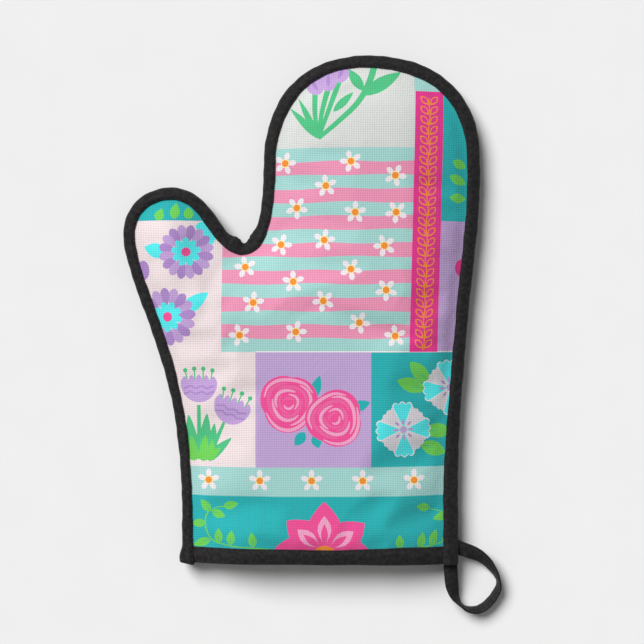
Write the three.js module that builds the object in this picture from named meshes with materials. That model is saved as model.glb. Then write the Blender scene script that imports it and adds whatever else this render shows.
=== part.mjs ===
// A padded oven mitt, lying on its palm with the back of the hand up.
//
// Two quilted walls, back and palm, are each a shell, a batting and a lining cut to one outline. Their cuff
// edges are bound first, and the walls are then joined all round, except at the cuff, by a bound seam. A loop of
// the same tape is sewn into the seam at the cuff's right corner. Every seam is a lockstitch, with a thread on
// each face.
//
// Millimetres, +Z up, +Y towards the finger tips. Shapes are drawn from the middle of the cuff edge, at the
// table's height, and the finished group is moved so that its origin is the middle of its footprint.
import * as THREE from "three";

// ---- The outline: the outer edge of the bound seam ----
const MITT_LENGTH = 305; // cuff edge to finger tip
const CUFF_WIDTH = 165;
const CUFF_STRAIGHT = 49; // the sides run straight up from the cuff this far
const FINGER_WIDTH = 129; // across the pocket that takes the four fingers
const FINGER_OFFSET = 31; // the pocket's middle, to the right of the cuff's
const FINGER_DOME = 67.5; // the height of its rounded end
const FINGER_FULLNESS = 0.63; // 0.55 would make that end an ellipse
const THUMB_REACH = 117; // the thumb's outer side, to the left of the cuff's middle
const THUMB_SHOULDER = 197; // the height at which it reaches that far
const THUMB_TIP = new THREE.Vector2(-90, 224.5);
const THUMB_FULLNESS = 0.56;
const CROTCH = new THREE.Vector2(-45.5, 192.5); // the bottom of the notch beside the thumb

// ---- What the walls are made of ----
const SHELL = 0.6;
const LINING = 0.5;
const BATTING = 4;
const PRESSED_BATTING = 1; // where a binding grips it
const TAPE = 0.8; // the folded edge of the binding tape
const BINDING_WIDTH = 7; // how far a binding covers each face
const BINDING_ROUND = 1; // the chamfer on its outer edge
const THREAD = 0.5;
const CLEARANCE = 0.3; // between pieces that lie on each other

// ---- How the mitt lies ----
const SEAM_HEIGHT = 10; // the seam's mid-plane, above the table
const TOTAL_HEIGHT = 26;
const BACK_CROWN_REACH = 45; // from the seam to where the back is at its highest
const PALM_CROWN_REACH = 20; // from the seam, or the cuff, to where the palm is flat on the table
const CROWN_FULLNESS = 2.4; // 1 would be a straight slope up from the seam
const CUFF_BINDING_SET_BACK = 4; // from a side binding to where the seam is open enough to take a cuff binding

// ---- The hanging loop ----
const LOOP_TAPE_WIDTH = 8.4;
const LOOP_TAPE = 1.5; // four layers of cloth
const LOOP_TILT = THREE.MathUtils.degToRad(76); // how far the tape turns on edge at the far side of the loop
const LOOP_HEM = 1.4; // from the tape's edge to its stitching
const LOOP_SIDE_ROOT = 8.8; // where it leaves the seam's side, above the cuff edge
const LOOP_END_ROOT = 4.2; // where it goes back into the seam's end, in from the side
const LOOP_SIDE_ROOM = 1.2; // beside the binding, so that the tape's corner clears it as the loop swings
const LOOP_END_GAP = 3; // from the seam's end to this end of the tape, which is square to the hinge

// ---- How finely curves are divided ----
const CORNER_STEP = 4; // between the cuff's corners and the first points up the sides
const INNER_SPACING = 6; // the least distance between points around the middle of the hand
const CURVE_STEPS = 8;
const LOOP_STEPS = 30;

const materials = {
  print: new THREE.MeshStandardMaterial({ color: "#a5c4c0", roughness: 0.85, metalness: 0 }),
  palm: new THREE.MeshStandardMaterial({ color: "#242324", roughness: 0.9, metalness: 0 }),
  batting: new THREE.MeshStandardMaterial({ color: "#f2f0ea", roughness: 1, metalness: 0 }),
  lining: new THREE.MeshStandardMaterial({ color: "#e6e0d2", roughness: 0.95, metalness: 0 }),
  tape: new THREE.MeshStandardMaterial({ color: "#262425", roughness: 0.85, metalness: 0 }),
  thread: new THREE.MeshStandardMaterial({ color: "#1c1b1c", roughness: 0.7, metalness: 0 }),
};

// What the dimensions above lead to.
const halfCuff = CUFF_WIDTH / 2;
const panelInset = TAPE + CLEARANCE; // from a binding's outer edge to the raw edge of the cloth inside it
const lipInset = BINDING_WIDTH + 0.5; // the walls lie flat up to here, just past a binding's inner edge
const wallThickness = (batting) => SHELL + CLEARANCE + batting + CLEARANCE + LINING;
const seamStack = 2 * wallThickness(PRESSED_BATTING) + CLEARANCE; // both walls, pressed together in the seam
const bindingRise = CLEARANCE + TAPE; // how far a binding stands above the cloth that it covers
const threadRise = CLEARANCE + THREAD; // how far a row of stitches stands above its binding
const stitchInset = BINDING_WIDTH - 1;
const cuffLift = bindingRise + threadRise + CLEARANCE; // the palm's cuff, so that its stitches clear the table

// ---- The outline ----

/** The outer edge of the bound seam, from the cuff's left corner round the thumb and fingers to its right. */
function seamPath() {
  const fingerLeft = FINGER_OFFSET - FINGER_WIDTH / 2;
  const fingerRight = FINGER_OFFSET + FINGER_WIDTH / 2;
  const domeFoot = MITT_LENGTH - FINGER_DOME;
  const thumbRise = THUMB_TIP.y - THUMB_SHOULDER;
  const thumbTurn = THUMB_TIP.x + THUMB_REACH;
  const domeHandle = FINGER_DOME * FINGER_FULLNESS;
  const sideHandle = (FINGER_WIDTH / 2) * FINGER_FULLNESS;

  return new THREE.Path()
    .moveTo(-halfCuff, 0)
    .lineTo(-halfCuff, CUFF_STRAIGHT)
    .bezierCurveTo(
      -halfCuff, CUFF_STRAIGHT + 66,
      -THUMB_REACH, THUMB_SHOULDER - 28,
      -THUMB_REACH, THUMB_SHOULDER,
    )
    .bezierCurveTo(
      -THUMB_REACH, THUMB_SHOULDER + thumbRise * THUMB_FULLNESS,
      THUMB_TIP.x - thumbTurn * THUMB_FULLNESS, THUMB_TIP.y,
      THUMB_TIP.x, THUMB_TIP.y,
    )
    .bezierCurveTo(THUMB_TIP.x + 25, THUMB_TIP.y, CROTCH.x - 13, CROTCH.y, CROTCH.x, CROTCH.y)
    .bezierCurveTo(CROTCH.x + 9.5, CROTCH.y, fingerLeft, domeFoot - 15.5, fingerLeft, domeFoot)
    .bezierCurveTo(
      fingerLeft, domeFoot + domeHandle,
      FINGER_OFFSET - sideHandle, MITT_LENGTH,
      FINGER_OFFSET, MITT_LENGTH,
    )
    .bezierCurveTo(
      FINGER_OFFSET + sideHandle, MITT_LENGTH,
      fingerRight, domeFoot + domeHandle,
      fingerRight, domeFoot,
    )
    .bezierCurveTo(fingerRight, domeFoot - 52, halfCuff, CUFF_STRAIGHT + 48, halfCuff, CUFF_STRAIGHT)
    .lineTo(halfCuff, 0);
}

/** Points along a curve, each with the direction across the mitt, leaving out the curve's last point. */
function stationsOf(curve, steps) {
  return Array.from({ length: steps }, (_, i) => {
    const along = curve.getTangent(i / steps);
    return { point: curve.getPoint(i / steps), inward: new THREE.Vector2(along.y, -along.x) };
  });
}

const seamStations = seamPath().curves.flatMap((curve) => {
  return stationsOf(curve, curve.isLineCurve ? 1 : CURVE_STEPS);
});
seamStations.push({ point: new THREE.Vector2(halfCuff, 0), inward: new THREE.Vector2(-1, 0) });

const seamSamples = seamPath().curves.flatMap((curve) => stationsOf(curve, 100));

/** How far a point in the plan is from the seam's outer edge. */
function seamDistance(x, y) {
  return Math.min(...seamSamples.map(({ point }) => Math.hypot(point.x - x, point.y - y)));
}

/** Where the walls are drawn across the cuff, from right to left, close together where they leave the seam. */
const cuffHalf = halfCuff - lipInset;
const cuffRight = [0, 0.03, 0.07, 0.13, 0.21, 0.31, 0.5, 0.75].map((share) => cuffHalf * (1 - share));
const cuffStations = [...cuffRight, 0, ...cuffRight.map((x) => -x).reverse()];

/** A closed ring of points at a distance inside the outline, with the cuff as its last side. */
function ring(inset) {
  const cuffReach = Math.min(halfCuff - inset, cuffHalf);
  const sideFoot = inset < lipInset ? inset : inset + CORNER_STEP;
  const side = seamStations.map(({ point, inward }, i) => {
    const foot = i === 0 || i === seamStations.length - 1;
    return new THREE.Vector2(point.x + inward.x * inset, foot ? sideFoot : point.y + inward.y * inset);
  });
  return [...side, ...cuffStations.map((x) => new THREE.Vector2((x * cuffReach) / cuffHalf, inset))];
}

const ringInsets = [
  panelInset,
  lipInset,
  THREE.MathUtils.lerp(lipInset, PALM_CROWN_REACH, 0.4),
  PALM_CROWN_REACH,
];
const rings = ringInsets.map(ring);

/** A closed ring further in, without points that crowd or that another stretch of the seam comes closer to. */
function innerRing(inset) {
  const foot = THREE.MathUtils.lerp(PALM_CROWN_REACH, inset, 0.25);
  const cuffReach = halfCuff - inset;
  const side = [];
  for (const point of ring(inset).slice(1, seamStations.length - 1)) {
    const crowded = side.length > 0 && side.at(-1).distanceTo(point) < INNER_SPACING;
    if (!crowded && seamDistance(point.x, point.y) > inset - 0.5) {
      side.push(point);
    }
  }
  const row = [1, 0.7, 0.35, 0, -0.35, -0.7, -1].map((share) => new THREE.Vector2(share * cuffReach, foot));
  return [...side, ...row];
}

const innerInsets = [THREE.MathUtils.lerp(PALM_CROWN_REACH, BACK_CROWN_REACH, 0.28), BACK_CROWN_REACH];
const innerRings = innerInsets.map(innerRing);

/** The two triangles between corners i and i + 1 of two rings of one length, split on the shorter diagonal. */
function quadFaces(points, first, count, i) {
  const next = (i + 1) % count;
  const [a, b, c, d] = [first + i, first + next, first + count + i, first + count + next];
  const shorter = points[b].distanceTo(points[c]) < points[a].distanceTo(points[d]);
  return shorter ? [[a, c, b], [b, c, d]] : [[a, c, d], [a, d, b]];
}

/** One triangulation of the plan, shared by every layer, so that the layers can't cross. */
function panelPlan() {
  const rim = rings[0].length;
  const points = rings.flat();
  const faces = [];
  for (let first = 0; first < points.length - rim; first += rim) {
    for (let i = 0; i < rim; i++) {
      faces.push(...quadFaces(points, first, rim, i));
    }
  }
  [rings.at(-1), ...innerRings].forEach((loop, i) => {
    const first = points.length - loop.length;
    const hole = innerRings[i] ?? [];
    const patch = THREE.ShapeUtils.triangulateShape(loop, hole.length ? [hole] : []);
    faces.push(...patch.map((face) => face.map((corner) => corner + first)));
    points.push(...hole);
  });
  const anticlockwise = ([a, b, c]) => {
    const [p, q, s] = [points[a], points[b], points[c]];
    return (q.x - p.x) * (s.y - p.y) > (q.y - p.y) * (s.x - p.x) ? [a, b, c] : [a, c, b];
  };
  return { points, faces: faces.map(anticlockwise), rim };
}

const plan = panelPlan();

// ---- Heights ----

/** The rise from 0, where the binding ends, to 1, at a distance from the seam. */
function crown(distance, reach) {
  const short = 1 - THREE.MathUtils.clamp((distance - lipInset) / (reach - lipInset), 0, 1);
  return 1 - short ** CROWN_FULLNESS;
}

/** 0 in the cuff's binding, rising to 1 where the batting is free of it. */
function cuffEase(y) {
  return THREE.MathUtils.clamp((y - lipInset) / (PALM_CROWN_REACH - lipInset), 0, 1);
}

/** The batting's thickness: pressed under the bindings, and full between them. */
function battingAt(distance, y, reach) {
  return PRESSED_BATTING + (BATTING - PRESSED_BATTING) * Math.min(crown(distance, reach), cuffEase(y));
}

/** The height of the back's outer face. The cuff's binding draws it down by half of what the batting loses. */
function backFace(distance, y) {
  const foot = SEAM_HEIGHT + seamStack / 2;
  const drawnDown = ((BATTING - PRESSED_BATTING) / 2) * (1 - cuffEase(y));
  return foot + (TOTAL_HEIGHT - foot - drawnDown) * crown(distance, BACK_CROWN_REACH);
}

/** The height of the palm's outer face. */
function palmFace(distance, y) {
  const foot = SEAM_HEIGHT - seamStack / 2;
  return foot + (cuffLift * (1 - cuffEase(y)) - foot) * crown(distance, PALM_CROWN_REACH);
}

/**
 * The two walls. Depth is measured into the wall from its outer face, so each layer is a pair of depths, and
 * heightAt turns a depth into a height.
 */
const walls = {
  back: {
    heightAt: (distance, y, depth) => backFace(distance, y) - depth,
    battingAt: (distance, y) => battingAt(distance, y, BACK_CROWN_REACH),
  },
  palm: {
    heightAt: (distance, y, depth) => palmFace(distance, y) + depth,
    battingAt: (distance, y) => battingAt(distance, y, PALM_CROWN_REACH),
  },
};

// ---- Solids ----

function solid(vertices, faces) {
  return new THREE.BufferGeometry()
    .setAttribute("position", new THREE.Float32BufferAttribute(vertices.flatMap((v) => v.toArray()), 3))
    .setIndex(faces.flat());
}

/** A layer of cloth or batting over the whole plan, between two depths into a wall. */
function layer(wall, nearDepth, farDepth) {
  const faceAt = (depth) =>
    plan.points.map(({ x, y }) => {
      const distance = seamDistance(x, y);
      const at = typeof depth === "function" ? depth(distance, y) : depth;
      return new THREE.Vector3(x, y, wall.heightAt(distance, y, at));
    });
  const [near, far] = [faceAt(nearDepth), faceAt(farDepth)];
  const [top, bottom] = near[0].z > far[0].z ? [near, far] : [far, near];
  const below = top.length;
  const faces = [...plan.faces, ...plan.faces.map(([a, b, c]) => [a + below, c + below, b + below])];
  for (let i = 0; i < plan.rim; i++) {
    const next = (i + 1) % plan.rim;
    faces.push([i, next, i + below], [next, next + below, i + below]);
  }
  return solid([...top, ...bottom], faces);
}

/**
 * Carries a section from station to station as one solid, and closes its ends. The section is a ring of
 * [across, up] points, anticlockwise with across to the right, and place(i, across, up) puts a point of it at
 * station i. Seen along the route, across points to the right.
 */
function loft(sections, place) {
  const count = sections[0].length;
  const vertices = sections.flatMap((section, i) => section.map(([across, up]) => place(i, across, up)));
  const faces = [];
  for (let first = 0; first < count * (sections.length - 1); first += count) {
    for (let i = 0; i < count; i++) {
      const next = (i + 1) % count;
      faces.push([first + i, first + count + i, first + next]);
      faces.push([first + next, first + count + i, first + count + next]);
    }
  }
  const capFaces = (section) => {
    return THREE.ShapeUtils.triangulateShape(section.map((p) => new THREE.Vector2(...p)), []);
  };
  const last = count * (sections.length - 1);
  faces.push(...capFaces(sections[0]));
  faces.push(...capFaces(sections.at(-1)).map(([a, b, c]) => [a + last, c + last, b + last]));
  return solid(vertices, faces);
}

/**
 * The tape's section where it is folded over an edge: [distance in from the fold, height]. The cloth that it grips
 * lies between the heights low and high.
 */
function foldedTape(low, high) {
  const [innerLow, innerHigh] = [low - CLEARANCE, high + CLEARANCE];
  const [outerLow, outerHigh] = [innerLow - TAPE, innerHigh + TAPE];
  return [
    [BINDING_WIDTH, innerHigh],
    [BINDING_WIDTH, outerHigh],
    [BINDING_ROUND, outerHigh],
    [0, outerHigh - BINDING_ROUND],
    [0, outerLow + BINDING_ROUND],
    [BINDING_ROUND, outerLow],
    [BINDING_WIDTH, outerLow],
    [BINDING_WIDTH, innerLow],
    [TAPE, innerLow],
    [TAPE, innerHigh],
  ];
}

/** A thread's section, square, centred on [distance in, height]. */
function threadSection(inset, height) {
  const half = THREAD / 2;
  return [
    [inset - half, height - half],
    [inset + half, height - half],
    [inset + half, height + half],
    [inset - half, height + half],
  ];
}

/** A section carried along the seam. */
function alongSeam(section) {
  return loft(
    seamStations.map(() => section),
    (i, inset, z) => {
      const { point, inward } = seamStations[i];
      return new THREE.Vector3(point.x + inward.x * inset, point.y + inward.y * inset, z);
    },
  );
}

/** A section carried across a wall's cuff, clear of the side bindings, with its heights taken from the wall. */
function alongCuff(wall, sectionAt) {
  const reach = halfCuff - BINDING_WIDTH - CUFF_BINDING_SET_BACK;
  const stations = [reach, ...cuffStations.filter((x) => Math.abs(x) < reach), -reach];
  const sections = stations.map((x) => {
    const distance = halfCuff - Math.abs(x);
    const outer = wall.heightAt(distance, 0, 0);
    const inner = wall.heightAt(distance, 0, wallThickness(wall.battingAt(distance, 0)));
    return sectionAt(Math.min(outer, inner), Math.max(outer, inner));
  });
  return loft(sections, (i, y, z) => new THREE.Vector3(stations[i], y, z));
}

// ---- The hanging loop ----

const loopHalf = LOOP_TAPE_WIDTH / 2;
const sideRootGap = LOOP_TAPE / 2 + threadRise + CLEARANCE + LOOP_SIDE_ROOM;

/** The loop's route seen from above: out of the seam's side, round, and back to the seam's end at the cuff. */
const loopRoute = new THREE.CatmullRomCurve3(
  [
    [sideRootGap, LOOP_SIDE_ROOT],
    [sideRootGap + 2, LOOP_SIDE_ROOT],
    [8, 7.2],
    [13.5, 3.9],
    [18.5, 0],
    [23, -5.5],
    [25.2, -11.5],
    [23.6, -18],
    [19.5, -23.8],
    [14, -27.3],
    [7.8, -27.4],
    [1.8, -24.4],
    [-2.2, -18.5],
    [-3.8, -11.5],
    [-LOOP_END_ROOT, -LOOP_END_GAP - 3],
    [-LOOP_END_ROOT, -LOOP_END_GAP],
  ].map(([x, y]) => new THREE.Vector3(halfCuff + x, y, 0)),
);

/** The loop at a share of its length: the tape's middle, and the directions of its width and its face. */
function loopFrame(share) {
  const tilt = LOOP_TILT * Math.sin(Math.PI * share) ** 0.7;
  const along = loopRoute.getTangentAt(share);
  const outward = new THREE.Vector3(-along.y, along.x, 0).normalize();
  const width = outward.clone().multiplyScalar(Math.cos(tilt)).setZ(Math.sin(tilt));
  const face = new THREE.Vector3().crossVectors(along, width);
  const onTable = loopHalf * Math.sin(tilt) + (LOOP_TAPE / 2) * Math.cos(tilt) + CLEARANCE;
  const height = THREE.MathUtils.lerp(onTable, SEAM_HEIGHT, Math.cos(Math.PI * share) ** 2);
  return { middle: loopRoute.getPointAt(share).setZ(height), width, face };
}

/** A section carried round the loop: across the tape, inwards, and up from its middle plane. */
function roundLoop(section) {
  const frames = Array.from({ length: LOOP_STEPS + 1 }, (_, i) => loopFrame(i / LOOP_STEPS));
  return loft(
    frames.map(() => section),
    (i, across, up) => {
      const { middle, width, face } = frames[i];
      return middle.clone().addScaledVector(width, -across).addScaledVector(face, up);
    },
  );
}

const loopSection = [
  [-loopHalf, -LOOP_TAPE / 2],
  [loopHalf, -LOOP_TAPE / 2],
  [loopHalf, LOOP_TAPE / 2],
  [-loopHalf, LOOP_TAPE / 2],
];
const loopStitchOff = LOOP_TAPE / 2 + CLEARANCE + THREAD / 2;

// ---- The pieces ----

const pieces = new THREE.Group();

function add(name, geometry, material) {
  const mesh = new THREE.Mesh(geometry, material);
  mesh.name = name;
  pieces.add(mesh);
}

function addWall(name, shellMaterial) {
  const wall = walls[name];
  const battingTop = SHELL + CLEARANCE;
  const battingEnd = (distance, y) => battingTop + wall.battingAt(distance, y);
  const liningTop = (distance, y) => battingEnd(distance, y) + CLEARANCE;
  const liningEnd = (distance, y) => liningTop(distance, y) + LINING;
  add(`${name}_shell`, layer(wall, 0, SHELL), shellMaterial);
  add(`${name}_batting`, layer(wall, battingTop, battingEnd), materials.batting);
  add(`${name}_lining`, layer(wall, liningTop, liningEnd), materials.lining);
}

function addCuff(name, needleIsAbove) {
  const wall = walls[name];
  const off = bindingRise + CLEARANCE + THREAD / 2;
  const over = alongCuff(wall, (low, high) => threadSection(stitchInset, high + off));
  const under = alongCuff(wall, (low) => threadSection(stitchInset, low - off));
  add(`${name}_cuff_binding`, alongCuff(wall, foldedTape), materials.tape);
  add(`${name}_cuff_needle_thread`, needleIsAbove ? over : under, materials.thread);
  add(`${name}_cuff_bobbin_thread`, needleIsAbove ? under : over, materials.thread);
}

addWall("back", materials.print);
addWall("palm", materials.palm);
addCuff("back", true);
addCuff("palm", false);

const seamHalf = seamStack / 2;
const seamThreadOff = seamHalf + bindingRise + CLEARANCE + THREAD / 2;
add("edge_binding", alongSeam(foldedTape(SEAM_HEIGHT - seamHalf, SEAM_HEIGHT + seamHalf)), materials.tape);
add("edge_needle_thread", alongSeam(threadSection(stitchInset, SEAM_HEIGHT + seamThreadOff)), materials.thread);
add("edge_bobbin_thread", alongSeam(threadSection(stitchInset, SEAM_HEIGHT - seamThreadOff)), materials.thread);

add("hanging_loop", roundLoop(loopSection), materials.tape);
add("loop_needle_thread", roundLoop(threadSection(LOOP_HEM - loopHalf, loopStitchOff)), materials.thread);
add("loop_bobbin_thread", roundLoop(threadSection(LOOP_HEM - loopHalf, -loopStitchOff)), materials.thread);

// The origin is the middle of the footprint, on the table.
const box = new THREE.Box3().setFromObject(pieces);
const middle = box.getCenter(new THREE.Vector3());
pieces.position.set(-middle.x, -middle.y, -box.min.z);

const mitt = new THREE.Group();
mitt.name = "oven_mitt";
mitt.add(pieces);
export default mitt;
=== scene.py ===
"""The looks of a padded oven mitt: a patchwork-printed back, a plain palm, bound seams and a hanging loop.

Lengths are in millimetres, from the middle of the cuff's edge at the table's height, until to_row() moves
them into the row frame, in metres.
"""
import math
import random

import bpy
import numpy as np
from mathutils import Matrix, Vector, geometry
from mathutils.bvhtree import BVHTree


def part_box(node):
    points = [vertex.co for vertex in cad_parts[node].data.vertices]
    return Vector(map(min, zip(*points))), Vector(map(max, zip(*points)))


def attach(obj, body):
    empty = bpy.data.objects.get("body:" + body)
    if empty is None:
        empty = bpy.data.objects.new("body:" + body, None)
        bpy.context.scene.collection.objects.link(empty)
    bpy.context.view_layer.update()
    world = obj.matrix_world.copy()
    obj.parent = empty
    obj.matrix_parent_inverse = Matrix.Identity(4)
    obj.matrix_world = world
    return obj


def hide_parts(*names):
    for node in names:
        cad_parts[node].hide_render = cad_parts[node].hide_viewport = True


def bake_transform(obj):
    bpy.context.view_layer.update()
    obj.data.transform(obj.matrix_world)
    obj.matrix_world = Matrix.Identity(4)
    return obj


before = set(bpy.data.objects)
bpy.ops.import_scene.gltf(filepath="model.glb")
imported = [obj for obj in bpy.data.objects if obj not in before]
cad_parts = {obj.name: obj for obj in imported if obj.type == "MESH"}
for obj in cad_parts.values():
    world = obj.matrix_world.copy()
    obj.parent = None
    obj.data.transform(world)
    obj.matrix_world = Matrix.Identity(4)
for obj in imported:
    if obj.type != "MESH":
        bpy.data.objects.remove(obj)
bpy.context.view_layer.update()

MM = 0.001
box = {name: np.array(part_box(name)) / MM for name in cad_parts}
ORIGIN = np.array([box["back_cuff_binding"][:, 0].mean(), box["edge_binding"][0, 1], 0.0])

# ---- What the walls are made of ----
SHELL = 0.6
LINING = 0.5
BATTING = 4.0
PRESSED_BATTING = 1.0
GAP = 0.3  # between layers
TAPE = 0.75
STITCH_PITCH = 3.0
STITCH_LENGTH = 2.5
THREAD_RADIUS = 0.27

# ---- Where the walls lie ----
SEAM_TOP = box["back_shell"][0, 2] + SHELL
SEAM_BOTTOM = box["palm_shell"][1, 2] - SHELL
SEAM_MIDDLE = (SEAM_TOP + SEAM_BOTTOM) / 2
BACK_TOP = box["back_shell"][1, 2]
PANEL_INSET = 2.1  # from a binding's outer edge to the raw edge of the cloth inside it
FLAT = 6.0  # the walls lie flat up to here, under the binding
BACK_REACH = 45.0  # from the seam to where the back is at its highest
PALM_REACH = 20.0
FULLNESS = 1.75  # how steeply the back and the batting rise beside the seam
CUFF_LIFT = 2.2  # the palm's cuff, above the table
CUFF_ROW = 4.0  # how far in from the cuff's edge the height under its binding is read
ABOVE_TABLE = 0.05  # the lowest that anything lies
CUFF_WIDTH = 8.5  # how far a cuff binding covers each face
CROTCH = np.array([-45.8, 192.5])  # the bottom of the notch beside the thumb


def to_row(points):
    return (np.asarray(points, float) + ORIGIN) * MM


def new_object(name, data):
    made = bpy.data.objects.new(name, data)
    bpy.context.scene.collection.objects.link(made)
    return made


def clamp01(x):
    return np.clip(x, 0.0, 1.0)


def smoothstep(x):
    x = clamp01(x)
    return x * x * (3 - 2 * x)


def linear(rgb):
    """The linear colour of an sRGB one given in 0 to 255."""
    c = np.array(rgb) / 255
    return np.where(c <= 0.04045, c / 12.92, ((c + 0.055) / 1.055) ** 2.4)


def paint(rgb, share=1.0):
    """The linear colour and alpha of an sRGB one given in 0 to 255, its light multiplied by a share."""
    return (*(linear(rgb) * share), 1.0)


def unit(vectors):
    return vectors / np.linalg.norm(vectors, axis=-1, keepdims=True)


def ripple(along, wavelengths, seed):
    """A smooth irregular wave along a length, from about -1 to 1."""
    draw = random.Random(seed)
    waves = [np.sin(2 * np.pi * (along / w + draw.random())) for w in wavelengths]
    return sum(waves) / len(waves)


def curve_through(points, step):
    """Points a step apart along a smooth curve through the given ones."""
    p = np.asarray(points, float)
    chord = np.diff(lengths_along(p))[:, None]
    slope = np.diff(p, axis=0) / chord
    inner = (chord[1:] * slope[:-1] + chord[:-1] * slope[1:]) / (chord[1:] + chord[:-1])
    tangent = np.vstack([slope[:1], inner, slope[-1:]])
    t = np.linspace(0, 1, 25)[:-1, None, None]
    a, b = p[:-1], p[1:]
    fine = (
        (2 * t**3 - 3 * t**2 + 1) * a
        + (t**3 - 2 * t**2 + t) * chord * tangent[:-1]
        + (3 * t**2 - 2 * t**3) * b
        + (t**3 - t**2) * chord * tangent[1:]
    )
    fine = np.vstack([fine.transpose(1, 0, 2).reshape(-1, p.shape[1]), p[-1:]])
    lengths = lengths_along(fine)
    return read_along(fine, lengths, np.linspace(0, lengths[-1], max(2, round(lengths[-1] / step) + 1)))


def lengths_along(points):
    return np.concatenate([[0], np.cumsum(np.linalg.norm(np.diff(points, axis=0), axis=1))])


def read_along(points, lengths, at):
    """The places at given lengths along a row of points."""
    return np.column_stack([np.interp(at, lengths, column) for column in points.T])


def relaxed(values, times):
    """A row of values, each moved towards its neighbours a number of times."""
    values = np.array(values, float)
    for _ in range(times):
        values[1:-1] = (values[:-2] + 2 * values[1:-1] + values[2:]) / 4
    return values


# ---- The outline, from the CAD model's edge binding ----

def seam_ring():
    """The binding's outer edge, from the cuff's left corner round: its corners under the upper chamfer."""
    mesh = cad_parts["edge_binding"].data
    corners = [tuple(np.round(np.array(v.co) / MM - ORIGIN, 2)) for v in mesh.vertices]
    level = sorted({corner[2] for corner in corners})[-3]
    beside = {}
    for edge in mesh.edges:
        a, b = (corners[i] for i in edge.vertices)
        if a != b and a[2] == level and b[2] == level:
            beside.setdefault(a, []).append(b)
            beside.setdefault(b, []).append(a)
    route = [min(beside, key=lambda corner: (round(corner[1]), corner[0]))]
    while True:
        onward = [corner for corner in beside[route[-1]] if corner not in route]
        if not onward:
            return np.array(route)[:, :2]
        route.append(onward[0])


def inward_of(points):
    """The unit direction into the mitt at each point of its outline."""
    along = unit(relaxed(np.gradient(points, axis=0), 4))
    return np.column_stack([along[:, 1], -along[:, 0]])


outline = curve_through(seam_ring(), 1.0)
inward = inward_of(outline)
along_seam = lengths_along(outline)

# ---- Heights, on a grid over the mitt ----
GRID_STEP = 1.0
GRID_MARGIN = 8
GRID_LOW = outline.min(axis=0) - GRID_MARGIN
GRID_HIGH = outline.max(axis=0) + GRID_MARGIN
grid_x = np.arange(GRID_LOW[0], GRID_HIGH[0], GRID_STEP)
grid_y = np.arange(GRID_LOW[1], GRID_HIGH[1], GRID_STEP)
mesh_x, mesh_y = np.meshgrid(grid_x, grid_y, indexing="ij")


def sampled(values):
    """A function of x and y that reads a grid of values, smoothly between them."""
    def read(x, y):
        u = np.clip((np.asarray(x) - GRID_LOW[0]) / GRID_STEP, 0, len(grid_x) - 1.001)
        v = np.clip((np.asarray(y) - GRID_LOW[1]) / GRID_STEP, 0, len(grid_y) - 1.001)
        i, j = u.astype(int), v.astype(int)
        u, v = u - i, v - j
        low = values[i, j] * (1 - u) + values[i + 1, j] * u
        high = values[i, j + 1] * (1 - u) + values[i + 1, j + 1] * u
        return low * (1 - v) + high * v
    return read


def blurred(values, radius):
    """A grid of values after a Gaussian blur."""
    reach = int(3 * radius / GRID_STEP) + 1
    offsets = np.arange(-reach, reach + 1) * GRID_STEP
    weights = np.exp(-(offsets**2) / (2 * radius**2))
    weights /= weights.sum()
    for axis in (0, 1):
        padded = np.pad(values, [(reach, reach) if k == axis else (0, 0) for k in (0, 1)], mode="edge")
        values = np.apply_along_axis(np.convolve, axis, padded, weights, mode="valid")
    return values


def distance_grid():
    """How far each grid point is from the seam's outer edge."""
    edge = outline[::2]
    rows = [np.hypot(x - edge[:, 0][:, None], grid_y - edge[:, 1][:, None]).min(axis=0) for x in grid_x]
    return np.array(rows)


seam_distance = distance_grid()
panel = outline + inward * PANEL_INSET
panel = panel[panel[:, 1] > PANEL_INSET]
panel = np.vstack([[panel[0, 0], PANEL_INSET], panel, [panel[-1, 0], PANEL_INSET]])


def crown(distance, reach, fullness):
    short = 1 - clamp01((distance - FLAT) / (reach - FLAT))
    return 1 - short**fullness


def cuff_ease(y):
    """0 in the cuff's binding, rising to 1 where the batting is free of it."""
    return smoothstep((y - 6) / 16)


def spread_inside(shape, across, up, margin):
    """Points in staggered rows inside a closed outline, at least a margin from its edge."""
    low, high = shape.min(axis=0), shape.max(axis=0)
    rows = enumerate(np.arange(low[1], high[1], up))
    spread = [(x + across / 2 * (i % 2), y) for i, y in rows for x in np.arange(low[0], high[0], across)]
    return [place for place in spread if inside_by(place, shape, margin)]


def fill_outline(shape, spacing):
    """The triangles that fill a closed outline, with an even spread of points inside."""
    return triangulated([shape], spread_inside(shape, spacing, spacing * 0.866, spacing * 0.45))


def inside_by(point, shape, margin):
    """Whether a point is inside the outline and at least a margin from its edge."""
    x, y = point
    a, b = shape, np.roll(shape, -1, axis=0)
    if np.hypot(a[:, 0] - x, a[:, 1] - y).min() < margin:
        return False
    crossing = (a[:, 1] > y) != (b[:, 1] > y)
    at = a[crossing, 0] + (y - a[crossing, 1]) * (b - a)[crossing, 0] / (b - a)[crossing, 1]
    return int((at > x).sum()) % 2 == 1


def turns_left(shape):
    """Whether a closed outline runs anticlockwise."""
    after = np.roll(shape, -1, axis=0)
    return (shape[:, 0] * after[:, 1] - after[:, 0] * shape[:, 1]).sum() > 0


def doubled_areas(flat, triangles):
    """Twice the area of each triangle, below zero for one that runs clockwise."""
    a, b, c = (flat[triangles[:, k]] for k in range(3))
    return (b - a)[:, 0] * (c - a)[:, 1] - (b - a)[:, 1] * (c - a)[:, 0]


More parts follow.
